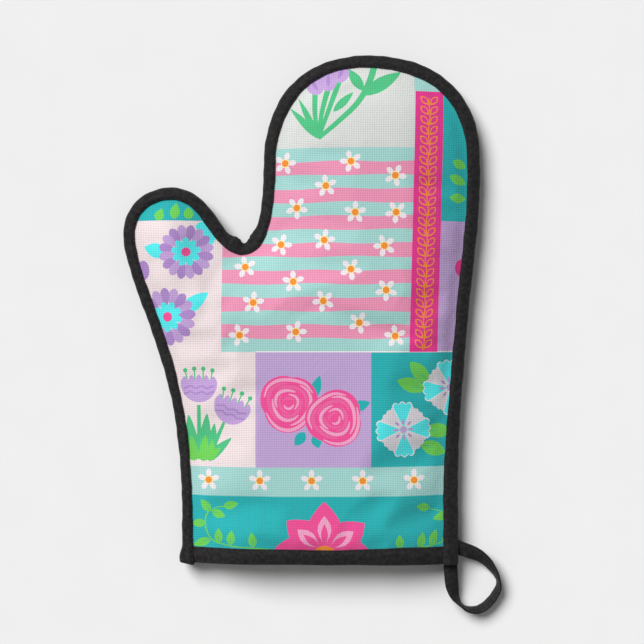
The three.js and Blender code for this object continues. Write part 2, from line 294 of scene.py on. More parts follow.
def triangulated(shapes, loose):
    """Triangles inside the first shape, each with the number of the last shape that it lies in."""
    points, faces = [], []
    for shape in shapes:
        numbers = list(range(len(points), len(points) + len(shape)))
        faces.append(numbers if turns_left(shape) else numbers[::-1])
        points.extend(tuple(p) for p in shape)
    points.extend(tuple(p) for p in loose)
    found = geometry.delaunay_2d_cdt(points, [], faces, 1, 1e-4, True)
    flat = np.array([tuple(place) for place in found[0]])
    kept = [(face, max(owners)) for face, owners in zip(found[2], found[5]) if 0 in owners]
    triangles = np.array([face for face, _ in kept])
    clockwise = doubled_areas(flat, triangles) < 0
    triangles[clockwise] = triangles[clockwise][:, ::-1]
    used, numbers = np.unique(triangles, return_inverse=True)
    return flat[used], numbers.reshape(triangles.shape), np.array([owner for _, owner in kept])


SIMULATED_FRAMES = 20
MOST_MOVED = 2.5  # the furthest that the simulation may move the cloth, up or down
CLOTH_SETTINGS = {
    "quality": 5,
    "vertex_group_mass": "pins",
    "shrink_min": -0.012,  # below zero, the sheet grows
    "use_pressure": True,
    "uniform_pressure_force": 3.0,
    "bending_stiffness": 4,
}


def inflated(height):
    """How far a cloth simulation lifts a wall: the sheet, pinned at its edges, is blown up from inside."""
    points, triangles, _ = fill_outline(panel[::4], 5.0)
    start = height(*points.T)
    mesh = bpy.data.meshes.new("sheet_to_inflate")
    mesh.from_pydata(to_row(np.column_stack([points, start])).tolist(), [], triangles.tolist())
    sheet = new_object("sheet_to_inflate", mesh)
    pinned = (sampled(seam_distance)(*points.T) < FLAT + 1) | (points[:, 1] < FLAT + 1)
    sheet.vertex_groups.new(name="pins").add([int(i) for i in np.flatnonzero(pinned)], 1.0, "REPLACE")
    cloth = sheet.modifiers.new("cloth", "CLOTH")
    for setting, value in CLOTH_SETTINGS.items():
        setattr(cloth.settings, setting, value)
    cloth.settings.effector_weights.gravity = 0
    scene = bpy.context.scene
    for step in range(1, SIMULATED_FRAMES + 1):
        scene.frame_set(step)
    shaped = sheet.evaluated_get(bpy.context.evaluated_depsgraph_get())
    moved = np.array([tuple(v.co) for v in shaped.data.vertices]) / MM - ORIGIN
    scene.frame_set(1)
    bpy.data.objects.remove(sheet)
    change = np.clip(moved[:, 2] - start, -MOST_MOVED, MOST_MOVED)
    tree = BVHTree.FromPolygons(np.column_stack([points, change]).tolist(), triangles.tolist())
    grid = np.zeros_like(mesh_x)
    for i, x in enumerate(grid_x):
        for j, y in enumerate(grid_y):
            hit = tree.ray_cast((x, y, 50.0), (0, 0, -1))[0]
            grid[i, j] = hit[2] if hit else 0.0
    return grid


def lumps(seed, size, height):
    """A grid of soft random bumps, with a standard deviation of the height given."""
    grid = blurred(np.random.default_rng(seed).normal(size=mesh_x.shape), size)
    return grid * (height / grid.std())


def back_grid():
    rise = crown(seam_distance, BACK_REACH, FULLNESS)
    drawn = (BATTING - PRESSED_BATTING) / 2 * (1 - cuff_ease(mesh_y))
    grid = blurred(SEAM_TOP + (BACK_TOP - 0.4 - SEAM_TOP - drawn) * rise, 2.5)
    grid = grid + blurred(inflated(sampled(grid)), 1.5) * smoothstep((seam_distance - 7) / 8)
    fade = smoothstep((seam_distance - 8) / 12) * cuff_ease(mesh_y)
    return np.minimum(grid + lumps(3, 9.0, 0.35) * fade, BACK_TOP + 2)


def palm_grid():
    rise = crown(seam_distance, PALM_REACH, 2.0)
    lifted = CUFF_LIFT * (1 - cuff_ease(mesh_y))
    grid = blurred(SEAM_BOTTOM + (lifted - SEAM_BOTTOM) * rise, 2.0)
    grid = grid + np.abs(lumps(5, 8.0, 0.5)) * smoothstep((seam_distance - 14) / 20)
    return np.maximum(grid, ABOVE_TABLE)


back_height = sampled(back_grid())
palm_height = sampled(palm_grid())
distance_at = sampled(seam_distance)


def batting_at(x, y, reach):
    full = np.minimum(crown(distance_at(x, y), reach, FULLNESS), cuff_ease(y))
    return PRESSED_BATTING + (BATTING - PRESSED_BATTING) * full


def wall_at(x, y, reach):
    """A wall's whole thickness."""
    return SHELL + GAP + float(batting_at(x, y, reach)) + GAP + LINING


# ---- Materials ----

class Shader:
    """A material's nodes, added one after another."""

    def __init__(self, name, roughness):
        self.material = bpy.data.materials.new(name)
        self.material.use_nodes = True
        self.tree = self.material.node_tree
        self.surface = self.tree.nodes["Principled BSDF"].inputs
        self.surface["Roughness"].default_value = roughness
        self.surface["Specular IOR Level"].default_value = 0.3

    def node(self, kind, inputs=(), **settings):
        node = self.tree.nodes.new(kind)
        for name, value in settings.items():
            setattr(node, name, value)
        for key, value in dict(inputs).items():
            if isinstance(value, bpy.types.NodeSocket):
                self.tree.links.new(value, node.inputs[key])
            else:
                node.inputs[key].default_value = value
        return node

    def math(self, operation, *values):
        return self.node("ShaderNodeMath", dict(enumerate(values)), operation=operation).outputs[0]

    def mix(self, share, a, b, blend="MIX"):
        inputs = {0: share, 6: a, 7: b}
        return self.node("ShaderNodeMix", inputs, data_type="RGBA", blend_type=blend).outputs[2]

    def shaded(self, colour, shade):
        """A colour multiplied by a shade."""
        grey = self.node("ShaderNodeCombineColor", {0: shade, 1: shade, 2: shade}).outputs[0]
        return self.mix(1.0, colour, grey, "MULTIPLY")

    def place(self):
        """Object coordinates, in millimetres."""
        found = self.node("ShaderNodeTexCoord").outputs["Object"]
        scaled = self.node("ShaderNodeVectorMath", {0: found}, operation="SCALE")
        scaled.inputs["Scale"].default_value = 1 / MM
        return scaled.outputs[0]

    def noise(self, place, size, detail=2.0):
        inputs = {"Vector": place, "Scale": 1 / size, "Detail": detail}
        return self.node("ShaderNodeTexNoise", inputs).outputs["Fac"]

    def weave(self, place, pitch, turn=0.0):
        """A plain weave's relief: 1 on the threads' crowns, 0 in the holes between them."""
        turned = self.node("ShaderNodeVectorRotate", {"Vector": place, "Angle": turn}, rotation_type="Z_AXIS")
        axes = self.node("ShaderNodeSeparateXYZ", {0: turned.outputs[0]})
        ridges = []
        for axis in (0, 1):
            phase = self.math("MULTIPLY", axes.outputs[axis], math.pi / pitch)
            ridges.append(self.math("ABSOLUTE", self.math("SINE", phase)))
        return self.math("POWER", self.math("MULTIPLY", *ridges), 0.6)

    def bump(self, height, distance, strength=1.0, onto=None):
        inputs = {"Height": height, "Distance": distance * MM, "Strength": strength}
        if onto is not None:
            inputs["Normal"] = onto
        return self.node("ShaderNodeBump", inputs).outputs[0]

    def finish(self, colour, normal):
        self.tree.links.new(colour, self.surface["Base Color"])
        self.tree.links.new(normal, self.surface["Normal"])
        return self.material

    def sheen(self, weight, roughness, tint):
        self.surface["Sheen Weight"].default_value = weight
        self.surface["Sheen Roughness"].default_value = roughness
        self.surface["Sheen Tint"].default_value = (*tint, 1)


def print_cloth():
    """Plain-woven cloth with the print on it. The print is the mesh's ink attribute."""
    s = Shader("printed_cotton", 0.85)
    place = s.place()
    ink = s.node("ShaderNodeAttribute", attribute_name="ink").outputs["Color"]
    threads = s.weave(place, 1.05)
    # painted shade: the print is darker in the holes between the threads and lighter on their crowns
    painted_gap_shade = s.math("MULTIPLY_ADD", threads, 0.36, 0.73)
    faded = s.math("MULTIPLY_ADD", s.noise(place, 0.9, 3.0), 0.16, 0.92)
    clouds = s.math("MULTIPLY_ADD", s.noise(place, 45.0), 0.05, 0.975)
    shade = s.math("MULTIPLY", s.math("MULTIPLY", painted_gap_shade, faded), clouds)
    s.sheen(0.12, 0.5, (1, 1, 1))
    slubs = s.bump(s.noise(place, 3.0, 4.0), 0.12)
    return s.finish(s.shaded(ink, shade), s.bump(threads, 0.14, 0.9, slubs))


def dark_cloth(name, rgb, pitch, turn, relief, worn):
    """A dark woven cloth, a little paler where it is rubbed."""
    s = Shader(name, 0.88)
    place = s.place()
    threads = s.weave(place, pitch, turn)
    mottled = s.math("MULTIPLY_ADD", s.noise(place, 2.2, 6.0), 3.6, -1.35)
    rubbed = s.math("MULTIPLY", s.math("MINIMUM", s.math("MAXIMUM", mottled, 0.0), 1.0), threads)
    tone = s.mix(rubbed, paint(rgb, 0.6), paint(rgb, worn))
    s.sheen(0.12, 0.4, (0.85, 0.85, 0.9))
    crumple = s.bump(s.noise(place, 2.6, 4.0), 0.55)
    return s.finish(tone, s.bump(threads, relief, 0.9, crumple))


def lining_cloth():
    s = Shader("cotton_lining", 0.95)
    place = s.place()
    threads = s.weave(place, 0.55)
    # painted shade: the lining is darker in the holes between its threads
    painted_gap_shade = s.math("MULTIPLY_ADD", threads, 0.14, 0.88)
    patches = s.math("MULTIPLY_ADD", s.noise(place, 18.0, 3.0), 0.1, 0.94)
    colour = s.shaded(paint((230, 224, 210)), s.math("MULTIPLY", painted_gap_shade, patches))
    return s.finish(colour, s.bump(threads, 0.06, 0.8, s.bump(s.noise(place, 5.0, 3.0), 0.3)))


def wadding():
    s = Shader("needled_wadding", 1.0)
    place = s.place()
    stretched = s.node("ShaderNodeMapping", {"Vector": place, "Scale": (1.0, 0.25, 1.0)}).outputs[0]
    fibres = s.noise(stretched, 0.5, 6.0)
    colour = s.mix(fibres, paint((226, 222, 214)), paint((250, 248, 243)))
    s.sheen(0.3, 0.6, (1, 1, 1))
    return s.finish(colour, s.bump(fibres, 0.5, 0.9, s.bump(s.noise(place, 4.0, 2.0), 0.6)))


def sewing_thread():
    s = Shader("twisted_thread", 0.6)
    place = s.place()
    axes = s.node("ShaderNodeSeparateXYZ", {0: place})
    slant = s.math("ADD", s.math("ADD", axes.outputs[0], axes.outputs[1]), axes.outputs[2])
    twist = s.math("ABSOLUTE", s.math("SINE", s.math("MULTIPLY", slant, math.pi / 0.3)))
    # painted highlight and shade: the thread is lighter on the crowns of its twist and darker in the grooves
    # between them
    colour = s.mix(twist, paint((24, 23, 24)), paint((52, 50, 52)))
    return s.finish(colour, s.bump(twist, 0.05))


materials = {
    "print_cloth": print_cloth(),
    "palm_cloth": dark_cloth("black_cotton", (36, 35, 36), 0.8, 0.0, 0.08, 2.0),
    "batting": wadding(),
    "lining": lining_cloth(),
    "binding_tape": dark_cloth("bias_tape", (29, 27, 28), 0.5, math.radians(45), 0.05, 2.6),
    "thread": sewing_thread(),
}

# ---- Making pieces ----


def make_piece(name, node, points, faces, slot, body="mitt", sharp=50):
    """A named mesh in the row frame that replaces a CAD node, with its slot's material, riding on a body."""
    mesh = bpy.data.meshes.new(name)
    mesh.from_pydata(to_row(points).tolist(), [], [[int(i) for i in face] for face in faces])
    mesh.polygons.foreach_set("use_smooth", np.ones(len(mesh.polygons), bool))
    mesh.set_sharp_from_angle(angle=math.radians(sharp))
    mesh.materials.append(materials[slot])
    piece = new_object(name, mesh)
    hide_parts(node)
    if body:
        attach(piece, body)
    return piece


def rim_of(triangles):
    """The outer edges of a patch of triangles, each in its triangle's own direction."""
    edges = dict.fromkeys(edge for a, b, c in triangles for edge in ((a, b), (b, c), (c, a)))
    return [(a, b) for a, b in edges if (b, a) not in edges]


def make_layer(name, node, flat, triangles, top, bottom, slot):
    """A closed layer between two heights at each point of the plan. Its upper triangles come first."""
    count = len(flat)
    upper = [tuple(t) for t in triangles]
    lower = [(a + count, c + count, b + count) for a, b, c in upper]
    rim = [(b, a, a + count, b + count) for a, b in rim_of(upper)]
    points = np.vstack([np.column_stack([flat, top]), np.column_stack([flat, bottom])])
    return make_piece(name, node, points, upper + lower + rim, slot)


def sweep_faces(stations, count):
    """The faces of a tube of rings of points, and of its two ends."""
    faces = []
    for first in range(0, count * (stations - 1), count):
        for i in range(count):
            after = (i + 1) % count
            faces.append((first + i, first + after, first + count + after, first + count + i))
    last = count * (stations - 1)
    faces.append(tuple(range(count - 1, -1, -1)))
    faces.append(tuple(range(last, last + count)))
    return faces


def make_tape(name, node, rings, body="mitt", sharp=50):
    """A tape through rings of points, closed at both ends, facing out."""
    stations, count, _ = rings.shape
    faces = sweep_faces(stations, count)
    points = rings.reshape(-1, 3)
    a, b, c = (points[[face[k] for face in faces]] for k in range(3))
    if np.einsum("ij,ij->i", a, np.cross(b - a, c - a)).sum() < 0:
        faces = [face[::-1] for face in faces]
    return make_piece(name, node, points, faces, "binding_tape", body, sharp)


# ---- The print ----

INK = {
    "white": (217, 220, 216),
    "blush": (240, 224, 226),
    "teal": (38, 179, 182),
    "lilac": (196, 168, 216),
    "mint": (166, 216, 211),
    "pink": (238, 150, 183),
    "hot pink": (234, 56, 145),
    "rose": (243, 104, 166),
    "warm pink": (246, 82, 155),
    "pale pink": (246, 168, 204),
    "orange": (246, 148, 52),
    "green": (80, 194, 132),
    "lime": (112, 210, 88),
    "cyan": (86, 238, 241),
    "purple": (194, 162, 216),
    "dark purple": (175, 138, 203),
    "cream": (240, 233, 237),
    "yellow": (252, 236, 176),
    "pale grey": (222, 218, 224),
}
PRINT_STEP = 3.0
PRINT_MIDDLE = np.array([1.2, 144.9])
PRINT_SCALE = 0.988  # the print is laid out as seen from above, and the back's crown is nearer the eye
print_shapes = []


def ink(colour, shape):
    """Prints a shape over what is there, its long sides divided so that they follow the cloth's curve."""
    corners = np.asarray(shape, float)
    divided = []
    for start, end in zip(corners, np.roll(corners, -1, axis=0)):
        pieces = max(1, math.ceil(np.hypot(*(end - start)) / PRINT_STEP))
        divided += [start + (end - start) * k / pieces for k in range(pieces)]
    print_shapes.append((colour, PRINT_MIDDLE + (np.array(divided) - PRINT_MIDDLE) * PRINT_SCALE))


def turned(points, angle, centre=(0, 0)):
    c, s = math.cos(angle), math.sin(angle)
    return np.asarray(points, float) @ np.array([[c, s], [-s, c]]) + centre


def rectangle(left, low, right, high):
    return [(left, low), (right, low), (right, high), (left, high)]


def disc(centre, across, up=None, turn=0.0, sides=14):
    a = np.linspace(0, 2 * np.pi, sides, endpoint=False)
    return turned(np.column_stack([across * np.cos(a), (up or across) * np.sin(a)]), turn, centre)


def leaf(start, end, width, widest=0.5, roundness=1.0):
    """A leaf or petal between two points. A roundness of 1 gives it points, and less rounds its ends."""
    start, end = np.array(start, float), np.array(end, float)
    t = (1 - np.cos(np.linspace(0, np.pi, 9))) / 2
    half = width / 2 * np.sin(np.pi * t ** (math.log(0.5) / math.log(widest))).clip(0) ** roundness
    along = end - start
    across = np.array([-along[1], along[0]]) / np.hypot(*along) * half[:, None]
    spine = start + along * t[:, None]
    return np.vstack([spine + across, (spine - across)[-2:0:-1]])


def band(points, step, width_at):
    """A band along a smooth curve, with a width for each share of its length."""
    spine = curve_through(points, step)
    along = unit(np.gradient(spine, axis=0))
    half = width_at(np.linspace(0, 1, len(spine)))[:, None] / 2
    across = np.column_stack([-along[:, 1], along[:, 0]]) * half
    return np.vstack([spine + across, (spine - across)[::-1]])


def stroke(points, start_width, end_width, step=1.5):
    """A brush stroke along a smooth curve."""
    return band(points, step, lambda share: start_width + (end_width - start_width) * share)


def pointed_arc(points, width):
    """A curved stroke that thins to a point at both ends."""
    return band(points, 1.2, lambda share: width * np.sin(0.12 + (np.pi - 0.24) * share) ** 0.6)


def ink_leaves(colour, ends, width, widest, roundness):
    """Leaves of one kind, each from its root to its tip."""
    for root, tip in ends:
        ink(colour, leaf(root, tip, width, widest, roundness))


def ink_veined_leaf(root, tip, width, widest, roundness, vein):
    ink("lime", leaf(root, tip, width, widest, roundness))
    ink("green", leaf(root, (np.array(root) + tip) / 2, vein))


def spoke(centre, angle, radius):
    return np.array(centre) + radius * np.array([math.cos(angle), math.sin(angle)])


def angles_round(count, start):
    return [start + 2 * math.pi * k / count for k in range(count)]


def petal(centre, angle, near, far, width, widest=0.5, roundness=1.0):
    """A petal between two distances from a flower's middle."""
    return leaf(spoke(centre, angle, near), spoke(centre, angle, far), width, widest, roundness)


def daisy(centre, radius, turn):
    for angle in angles_round(5, turn):
        ink("cream", petal(centre, angle, 0, radius, radius * 0.51, 0.66, 0.74))
    ink("yellow", disc(centre, radius * 0.4, sides=10))
    ink("orange", disc(centre, radius * 0.31, sides=10))


def aster(centre, radius, turn):
    """A round purple flower with a smaller one in its middle."""
    for k, angle in enumerate(angles_round(16, turn)):
        colour = "dark purple" if k % 2 else "purple"
        ink(colour, petal(centre, angle, radius * 0.25, radius, radius * 0.34, 0.7, 0.6))
    for angle in angles_round(9, turn):
        ink("cyan", petal(centre, angle, 0, radius * 0.53, radius * 0.25, 0.7, 0.6))
    ink("cyan", disc(centre, radius * 0.3, sides=12))
    ink("warm pink", disc(centre, radius * 0.17, sides=10))


def cup_flower(centre, turn):
    """A cup-shaped flower with a scalloped top, and four stamens above it."""
    for k, lean in enumerate((-0.38, -0.13, 0.13, 0.38)):
        root, head = turned([(-7 + 4.7 * k, 4), (-8.4 + 5.6 * k, 12.8 - 4 * abs(lean))], turn, centre)
        ink("green", stroke([root, (root + head) / 2, head], 0.8, 0.8))
        ink("green", disc(head, 1.4, sides=9))
    bowl = [(11.4 * math.cos(a), 4 + 12 * math.sin(a)) for a in np.linspace(math.pi, 2 * math.pi, 14)]
    top = [(11.4 - 22.8 * t, 4 + 3.2 * abs(math.sin(5 * math.pi * t)) + 1.6 * math.sin(math.pi * t))
           for t in np.linspace(0, 1, 26)[1:-1]]
    ink("purple", turned(bowl + top, turn, centre))
    for low in (1.2, -2.2):
        line = [(x, low + 0.9 * math.sin(x * 0.9)) for x in np.linspace(-9.4, 9.4, 9)]
        ink("dark purple", stroke(turned(line, turn, centre), 1.1, 1.1))


def rose(centre, radius, turn):
    """A round rose of arcs that wind in towards its middle."""
    for angle in angles_round(3, turn):
        ink("warm pink", disc(spoke(centre, angle, radius * 0.22), radius * 0.8, sides=22))
    for k, share in enumerate((0.84, 0.7, 0.56, 0.43, 0.31, 0.18)):
        for half in (0, 1):
            begin = turn + k * 1.25 + half * math.pi
            angles = np.linspace(begin, begin + 2.5, 7)
            reach = radius * share * (1 + 0.06 * np.cos(3 * (angles - turn)) + 0.05 * half)
            arc = np.column_stack([centre[0] + reach * np.cos(angles), centre[1] + reach * np.sin(angles)])
            colour = "rose" if k and (k + half) % 2 else "pale pink"
            ink(colour, pointed_arc(arc, radius * (0.12 if k < 4 else 0.09)))
    ink("warm pink", disc(centre, radius * 0.09, sides=8))


def frilled_wedge(centre, angle, near, far, spread, frills, frill):
    """A petal like a slice of a disc, with a frilled outer edge."""
    sweep = np.linspace(-spread, spread, frills * 5 + 1)
    wave = np.abs(np.sin(np.linspace(0, math.pi * frills, len(sweep))))
    outer = [spoke(centre, angle + a, far + frill * w) for a, w in zip(sweep, wave)]
    return [spoke(centre, angle, near), *outer]


def carnation(centre, radius, turn):
    for angle in angles_round(4, turn + math.pi / 4):
        ink("pale grey", frilled_wedge(centre, angle, 0.5, radius * 0.84, 0.5, 4, 0.9))
    for angle in angles_round(4, turn):
        ink("cream", frilled_wedge(centre, angle, 0.2, radius * 0.92, 0.42, 3, 1.45))
        ink("cyan", frilled_wedge(centre, angle, 1.0, radius * 0.89, 0.385, 3, 1.4))
        ink("purple", petal(centre, angle, radius * 0.14, radius * 0.4, radius * 0.1))
        ink("dark purple", petal(centre, angle + math.pi / 4, radius * 0.2, radius * 0.42, 1.2))
    ink("lilac", disc(centre, radius * 0.13, sides=9))


def lotus(centre, radius):
    petals = [(1.58, 1.0), (0.62, 0.98), (2.45, 0.98), (-0.02, 0.92), (3.08, 1.0)]
    for angle, share in petals:
        ink("warm pink", petal(centre, angle, radius * -0.05, radius * share, radius * 0.7, 0.44, 0.85))
    for angle, share in petals[:3]:
        ink("pale pink", petal(centre, angle, radius * 0.12, radius * share * 0.72, radius * 0.28, 0.55))
        ink("warm pink", petal(centre, angle, radius * 0.12, radius * share * 0.56, radius * 0.14))
    ink("orange", disc(centre, radius * 0.2, radius * 0.12, sides=12))


def vine(route, leaves):
    """A stem with leaves, each from a point on the stem to its own tip."""
    ink("lime", stroke(route, 0.9, 0.7))
    for root, tip in leaves:
        ink_veined_leaf(root, tip, 5.2, 0.42, 0.9, 0.6)


# The patches' edges, up the mitt and across it.
PAST_EDGE = 130.0
CUFF_PATCH_TOP = 40.5
STRIP_TOP = 58.0
ROW_TOP = 127.0
BUD_PATCH_TOP = 205.5
ASTER_PATCH_TOP = 206.0
STRIPES_TOP = 249.3
STRIPES = 15
RIBBON_TOP = 284.0
TIP_TOP = 320.0
STRIPES_LEFT = -59.0
STRIPES_RIGHT = 58.0
ROSES_LEFT = -38.5
ROSES_RIGHT = 30.6
RIBBON_LOW = (53.5, 70.5)
RIBBON_HIGH = (57.5, 74.7)


def print_patches():
    """The patches, by their left, low, right and high edges. Later ones lie over earlier ones."""
    for colour, *edges in (
        ("teal", -PAST_EDGE, -10, PAST_EDGE, CUFF_PATCH_TOP),
        ("mint", -PAST_EDGE, CUFF_PATCH_TOP, PAST_EDGE, STRIP_TOP),
        ("blush", -PAST_EDGE, STRIP_TOP, ROSES_LEFT, ASTER_PATCH_TOP),
        ("lilac", ROSES_LEFT, STRIP_TOP, ROSES_RIGHT, ROW_TOP),
        ("teal", ROSES_RIGHT, STRIP_TOP, PAST_EDGE, ROW_TOP),
        ("teal", -PAST_EDGE, ASTER_PATCH_TOP, STRIPES_LEFT, 260),
        ("mint", 72, 274, PAST_EDGE, TIP_TOP),
        ("mint", 57, RIBBON_TOP, 72, TIP_TOP),
        ("teal", 72, BUD_PATCH_TOP, PAST_EDGE, RIBBON_TOP),
        ("lilac", 68, ROW_TOP, PAST_EDGE, BUD_PATCH_TOP),
        ("mint", STRIPES_LEFT, ROW_TOP, STRIPES_RIGHT, STRIPES_TOP),
        ("cream", ROSES_LEFT, ROW_TOP - 0.3, PAST_EDGE, ROW_TOP + 0.5),
    ):
        ink(colour, rectangle(*edges))


def print_stripes():
    pitch = (STRIPES_TOP - ROW_TOP) / STRIPES
    across = np.linspace(STRIPES_LEFT, STRIPES_RIGHT, 30)
    for k in range(1, STRIPES, 2):
        low = ROW_TOP + k * pitch + 0.45 * np.sin(across / 9 + k * 1.7)
        high = ROW_TOP + (k + 1) * pitch + 0.45 * np.sin(across / 8 + k * 2.9)
        ink("pink", np.vstack([np.column_stack([across, low]), np.column_stack([across, high])[::-1]]))
    centres = [
        (-21, 240.5), (18.5, 241), (45, 232.5), (3.5, 226.5), (-14, 213.5), (21, 210.5), (45.5, 210.5),
        (2.5, 194), (38.5, 190.5), (-23.5, 191.5), (-45, 178), (18.5, 176.5), (-16, 169), (39.5, 164),
        (-40, 156.5), (2, 157.5), (-14.5, 139), (-48, 137), (23.5, 144.5), (45, 136.5),
    ]
    for k, centre in enumerate(centres):
        daisy(centre, 6.8, 1.3 + 0.55 * k)


def ribbon_place(across, y):
    """A place in the ribbon, across from its middle, which leans a little."""
    low, high = sum(RIBBON_LOW) / 2, sum(RIBBON_HIGH) / 2
    return (low + (high - low) * (y - ROW_TOP) / (RIBBON_TOP - ROW_TOP) + across, y)


def print_ribbon():
    """A band with a stem up its middle and a leaf outline on each side at every step."""
    low = [(x, ROW_TOP) for x in RIBBON_LOW]
    high = [(x, RIBBON_TOP) for x in RIBBON_HIGH]
    ink("hot pink", low + high[::-1])
    for y in np.arange(ROW_TOP + 2, RIBBON_TOP - 7, 6.1):
        middle = ribbon_place(0, y)[0]
        for side in (-1, 1):
            ink("orange", leaf((middle + 0.2 * side, y), (middle + 5.2 * side, y + 5.4), 4.0, 0.55, 0.75))
            inner_root, inner_tip = (middle + 1.1 * side, y + 1.1), (middle + 4.5 * side, y + 4.7)
            ink("hot pink", leaf(inner_root, inner_tip, 2.7, 0.55, 0.75))
    stem = [ribbon_place(0.5 * math.sin(y / 3), y) for y in np.arange(ROW_TOP + 1, RIBBON_TOP - 2, 4)]
    ink("orange", stroke(stem, 0.65, 0.65, 3.0))


def print_asters():
    beside = [
        ((-75, 203), (-63.5, 200)), ((-92, 186), (-106, 190)), ((-84, 150), (-67, 162.5)),
        ((-74, 190), (-62.5, 199.5)),
    ]
    ink_leaves("cyan", beside, 9, 0.45, 0.8)
    ink("dark purple", disc((-107, 176), 4, 6))
    aster((-80.5, 187), 16.6, 0.2)
    aster((-92, 148), 17.6, 0.5)
    above = [((-98, 206), (-95.5, 213.5)), ((-88, 207), (-87, 217)), ((-79, 207), (-80, 214.5))]
    ink_leaves("lime", above, 6, 0.4, 0.9)


def print_cup_flowers():
    """Two cup-shaped flowers that stand in a tuft of blades."""
    ink("green", stroke([(-73, 95), (-73, 80), (-73, 64)], 2.2, 2.8))
    ink("green", stroke([(-57, 86), (-61, 77), (-67, 64)], 1.6, 3.6))
    blades = [
        ((-76, 61), (-79.5, 89), 8.5), ((-70.5, 61), (-68, 90), 8.5), ((-66, 62), (-63.5, 84), 6.5),
        ((-68, 62), (-53, 75.5), 6.0),
    ]
    for root, tip, width in blades:
        ink("green", leaf(root, tip, width, 0.3, 0.7))
    for root, tip, width in blades:
        near_tip = np.array(root) + (np.array(tip) - root) * 0.55
        ink("lime", leaf(root, near_tip, width * 0.72, 0.35, 0.8))
    ink("lime", [(-79, 62.2), (-65, 62.2), (-63, 65), (-70, 67), (-78, 66)])
    cup_flower((-73, 104.5), 0.0)
    cup_flower((-53.5, 91.5), -0.35)


def print_roses_and_carnations():
    rose_leaves = [((-5, 98), (0, 113)), ((19, 93), (30, 97)), ((-9, 79), (-15, 71)), ((-3, 78), (-1, 69.5))]
    ink_leaves("teal", rose_leaves, 6.5, 0.45, 0.9)
    rose((-18.7, 96.5), 17.5, 0.4)
    rose((8.6, 87.4), 17.3, 1.1)
    beside = [((66, 108), (54, 121)), ((64, 104), (46, 110)), ((62, 80), (80, 79)), ((60, 72), (76, 66))]
    for root, tip in beside:
        ink_veined_leaf(root, tip, 9, 0.5, 0.8, 0.7)
    carnation((50, 80.5), 16.8, 0.05)
    carnation((78.5, 105.5), 16.8, 0.15)


def print_cuff():
    for x in (-67, -36, -5, 25.5, 56.5):
        daisy((x, 50), 6.8, math.pi / 2)
    lotus((2.8, 7.5), 30)
    vine(
        [(-66, 33), (-69, 27), (-68.5, 20), (-65, 14), (-56, 11), (-40, 9.5), (-22, 8)],
        [((-66, 31), (-72, 38)), ((-65, 31), (-57, 28)), ((-58, 34), (-49, 36)), ((-69, 24), (-78, 23)),
         ((-66, 14), (-77, 10)), ((-61, 12), (-61, 21)), ((-54, 11), (-53, 20)), ((-40, 10), (-41, 19))],
    )
    ink("lime", stroke([(-66, 31), (-62, 33.5), (-57, 34)], 0.6, 0.6))
    vine(
        [(40, 8), (55, 8.5), (68, 10.5), (80, 14)],
        [((48, 9), (47.5, 17.5)), ((60, 9), (62, 18.5)), ((67, 10), (70, 20)), ((78, 29), (68, 26)),
         ((66, 33), (58, 34)), ((74, 12), (80, 16))],
    )
    ink("lime", stroke([(64, 33), (70, 31.5), (79, 29)], 0.6, 0.6))


def print_sprays():
    """The spray of stems at the finger tips, and the leaves at the right-hand edge."""
    base = (-1, 255)
    for tip, width in [((-18, 274), 4.5), ((-13, 280), 4.0), ((-6, 268), 4.5)]:
        ink("green", leaf(base, tip, width, 0.4, 0.8))
    for tip in [(-3, 284), (5, 286), (12, 291)]:
        ink("green", stroke([base, ((base[0] + tip[0]) / 2 - 1, 270), tip], 2.2, 3.4))
    branch = [base, (11, 265), (23, 277), (30, 290), (34, 305)]
    ink("green", stroke(branch, 2.6, 4.2))
    spray_leaves = [((26, 281), (49, 296), 8.5), ((26, 284), (17, 298), 6.5), ((8, 271), (20, 283), 5.0)]
    for root, tip, width in spray_leaves:
        ink("green", leaf(root, tip, width, 0.45, 0.85))
    for centre, turn in [((-3, 287.5), 0.5), ((5, 290), 0.0), ((12.5, 295), -0.4)]:
        ink("purple", disc(centre, 5.2, 6.2, turn, 16))
        ink("dark purple", leaf(*turned([(0, -4), (0, 5)], turn, centre), 2.4))
    ink_leaves("lime", [((88, 228), (78, 233)), ((88, 238), (80, 242)), ((88, 219), (78, 220))], 6, 0.5, 0.85)
    ink("hot pink", disc((86, 177.5), 4.6, 5.4))


print_patches()
print_stripes()
print_ribbon()
print_asters()
print_cup_flowers()
print_roses_and_carnations()
print_cuff()
print_sprays()

# ---- The walls ----


def smooth_normals(flat, height):
    """The upward normal of a height field at each point of the plan."""
    x, y = flat.T
    slope_x = (height(x + 0.8, y) - height(x - 0.8, y)) / 1.6
    slope_y = (height(x, y + 0.8) - height(x, y - 0.8)) / 1.6
    return unit(np.column_stack([-slope_x, -slope_y, np.ones(len(flat))]))


def printed_back():
    """The back's shell, its triangles cut along the edges of the print."""
    shapes = [panel[::2], *(shape for _, shape in print_shapes)]
    flat, triangles, owners = triangulated(shapes, spread_inside(panel[::3], 3.2, 2.8, 1.4))
    top = back_height(*flat.T)
    piece = make_layer("printed_cloth_back", "back_shell", flat, triangles, top, top - SHELL, "print_cloth")
    colours = np.array([linear(INK["white"]), *(linear(INK[name]) for name, _ in print_shapes)])
    mesh = piece.data
    attribute = mesh.color_attributes.new("ink", "FLOAT_COLOR", "CORNER")
    shades = np.tile(paint((214, 210, 204)), (len(mesh.loops), 1))
    shades[: 3 * len(triangles), :3] = np.repeat(colours[owners], 3, axis=0)
    attribute.data.foreach_set("color", shades.ravel())
    up = smooth_normals(flat, back_height)
    mesh.normals_split_custom_set_from_vertices(np.vstack([up, -up]).tolist())
    return piece


plan, plan_triangles, _ = fill_outline(panel[::3], 4.2)
plan_x, plan_y = plan.T


